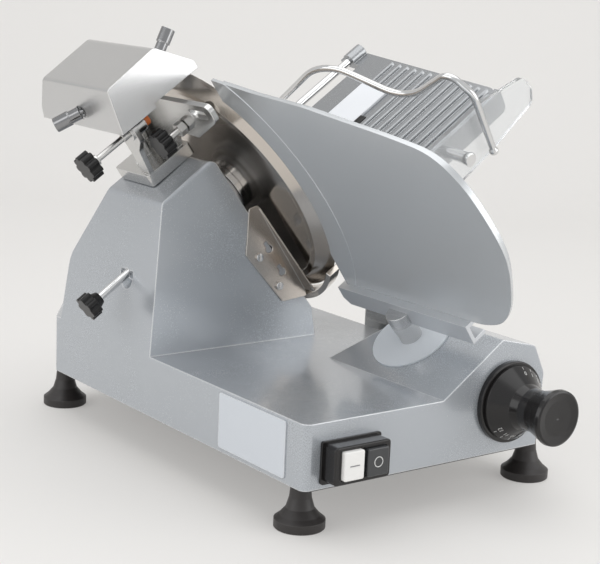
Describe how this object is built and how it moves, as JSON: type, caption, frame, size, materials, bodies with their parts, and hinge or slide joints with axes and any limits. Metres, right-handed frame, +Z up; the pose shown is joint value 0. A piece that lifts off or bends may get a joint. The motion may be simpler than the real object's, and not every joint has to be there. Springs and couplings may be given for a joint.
{
  "type": "electric meat slicer",
  "caption": "Gravity feed slicer: tilted round blade, adjustable gauge plate, hand-pushed food carriage with pusher, top sharpener and thickness dial on a cast base",
  "frame": {"origin": "middle of the overall footprint, on the ground under the feet", "axes": "+X towards the food carriage, +Y towards the back of the machine, +Z up"},
  "size_m": [0.5122, 0.6519, 0.4571],
  "materials": {
    "silver_paint": "satin",
    "anodised": "satin",
    "polished_steel": "polished",
    "bright_steel": "polished",
    "cast_dark": "matte",
    "bronze": "satin",
    "dark_plate": "matte",
    "black_plastic": "gloss",
    "black_rubber": "matte",
    "white_plastic": "satin",
    "grey_plastic": "satin",
    "clear_plastic": "clear",
    "grinding_stone": "matte"
  },
  "bodies": {
    "base": {"body_casting": "silver_paint", "ring_guard": "silver_paint", "sharpener_base": "anodised", "bearing_housing": "anodised", "blade_cover": "polished_steel", "slice_deflector": "polished_steel", "slide_rod": "bright_steel", "gauge_slide_rod": "bright_steel", "deflector_screws": "bright_steel", "bracket_bolts": "bright_steel", "foot_screws": "bright_steel", "bearings": "bright_steel", "motor": "cast_dark", "bottom_plate": "dark_plate", "dial_ring": "black_plastic", "switch_plate": "black_plastic", "switch_housing": "black_plastic", "cord_gland": "black_plastic", "feet": "black_rubber", "drive_belt": "black_rubber", "label_plate": "white_plastic"},
    "blade_group": {"blade": "polished_steel", "blade_screws": "bright_steel", "blade_shaft": "bright_steel", "blade_pulley": "cast_dark"},
    "motor_rotor": {"motor_pulley": "bright_steel"},
    "cover_tie": {"tie_rod": "bright_steel", "star_knob": "black_plastic"},
    "gauge": {"gauge_plate": "anodised", "gauge_bracket": "anodised", "gauge_stem": "bright_steel", "gauge_slide_block": "anodised", "splash_disc": "clear_plastic"},
    "dial": {"dial_shaft": "bright_steel", "dial_knob": "black_plastic"},
    "start": {"start_button": "white_plastic"},
    "stop": {"stop_button": "grey_plastic"},
    "carriage": {"carriage_slide_block": "anodised", "carriage_bushes": "bronze", "carriage_column": "silver_paint", "carriage_tray": "anodised", "tray_insert": "white_plastic", "hand_guard": "clear_plastic", "guard_spacers": "bright_steel", "guard_nuts": "bright_steel", "pusher_rod": "bright_steel"},
    "pusher_slider": {"pusher_bush": "bright_steel"},
    "pusher": {"pusher_hub": "bright_steel", "pusher_wire": "bright_steel", "pusher_plate": "bright_steel"},
    "sharpener_lifter": {"sharpener_post": "polished_steel"},
    "sharpener": {"sharpener_head": "anodised", "sharpener_cover": "polished_steel"},
    "grind_pusher": {"grind_button": "bright_steel"},
    "grind_wheel": {"grind_stone": "grinding_stone"},
    "hone_pusher": {"hone_button": "bright_steel"},
    "hone_wheel": {"hone_stone": "grinding_stone"},
    "clamp": {"clamp_knob": "black_plastic"},
    "lock": {"lock_knob": "black_plastic"}
  },
  "joints": [
    {"name": "blade_spin", "type": "hinge", "parent": "base", "child": "blade_group", "pos_m": [-0.06562, 0.1085, 0.27036], "axis": [0.8192, 0, 0.5736], "continuous": true},
    {"name": "motor_spin", "type": "hinge", "parent": "base", "child": "motor_rotor", "pos_m": [-0.0271, 0.1655, 0.16305], "axis": [0.8192, 0, 0.5736], "continuous": true},
    {"name": "cover_knob_turn", "type": "hinge", "parent": "base", "child": "cover_tie", "pos_m": [-0.17211, 0.1085, 0.1958], "axis": [0.8192, 0, 0.5736], "continuous": true},
    {"name": "gauge_slide", "type": "slide", "parent": "base", "child": "gauge", "axis": [-0.8192, 0, -0.5736], "range_m": [0, 0.015]},
    {"name": "dial_turn", "type": "hinge", "parent": "base", "child": "dial", "pos_m": [0.0725, -0.2245, 0.1035], "axis": [0, -1, 0], "range_deg": [0, 330]},
    {"name": "start_press", "type": "slide", "parent": "base", "child": "start", "axis": [0, 1, 0], "range_m": [0, 0.003], "stiffness_N_per_m": 1000, "springref_m": -0.001},
    {"name": "stop_press", "type": "slide", "parent": "base", "child": "stop", "axis": [0, 1, 0], "range_m": [0, 0.003], "stiffness_N_per_m": 1000, "springref_m": -0.001},
    {"name": "carriage_slide", "type": "slide", "parent": "base", "child": "carriage", "axis": [0, 1, 0], "range_m": [-0.165, 0.115]},
    {"name": "pusher_slide", "type": "slide", "parent": "carriage", "child": "pusher_slider", "axis": [0.8192, 0, 0.5736], "range_m": [-0.095, 0.06]},
    {"name": "pusher_swing", "type": "hinge", "parent": "pusher_slider", "child": "pusher", "pos_m": [0.09669, 0.21884, 0.33496], "axis": [-0.8192, 0, -0.5736], "range_deg": [0, 95]},
    {"name": "sharpener_lift", "type": "slide", "parent": "base", "child": "sharpener_lifter", "axis": [-0.5736, 0, 0.8192], "range_m": [0, 0.02]},
    {"name": "sharpener_swivel", "type": "hinge", "parent": "sharpener_lifter", "child": "sharpener", "pos_m": [-0.1836, 0.1395, 0.38307], "axis": [-0.5736, 0, 0.8192], "range_deg": [0, 180]},
    {"name": "grind_push", "type": "slide", "parent": "sharpener", "child": "grind_pusher", "axis": [0.7006, -0.5182, 0.4906], "range_m": [0, 0.006], "stiffness_N_per_m": 1500, "springref_m": -0.002},
    {"name": "grind_spin", "type": "hinge", "parent": "grind_pusher", "child": "grind_wheel", "pos_m": [-0.20647, 0.10588, 0.37927], "axis": [0.7006, -0.5182, 0.4906], "continuous": true},
    {"name": "hone_push", "type": "slide", "parent": "sharpener", "child": "hone_pusher", "axis": [-0.412, 0, -0.9112], "range_m": [0, 0.006], "stiffness_N_per_m": 1500, "springref_m": -0.002},
    {"name": "hone_spin", "type": "hinge", "parent": "hone_pusher", "child": "hone_wheel", "pos_m": [-0.18383, 0.0555, 0.41129], "axis": [-0.412, 0, -0.9112], "continuous": true},
    {"name": "clamp_knob_turn", "type": "hinge", "parent": "base", "child": "clamp", "pos_m": [-0.19392, 0.0755, 0.34899], "axis": [0.8192, 0, 0.5736], "continuous": true},
    {"name": "lock_knob_turn", "type": "hinge", "parent": "base", "child": "lock", "pos_m": [-0.1428, 0.0515, 0.35793], "axis": [0.8192, 0, 0.5736], "continuous": true}
  ],
  "couplings": [
    {"joint": "motor_spin", "follows": "blade_spin", "ratio": 2.8125},
    {"joint": "dial_turn", "follows": "gauge_slide", "rad_per_m": 380}
  ]
}
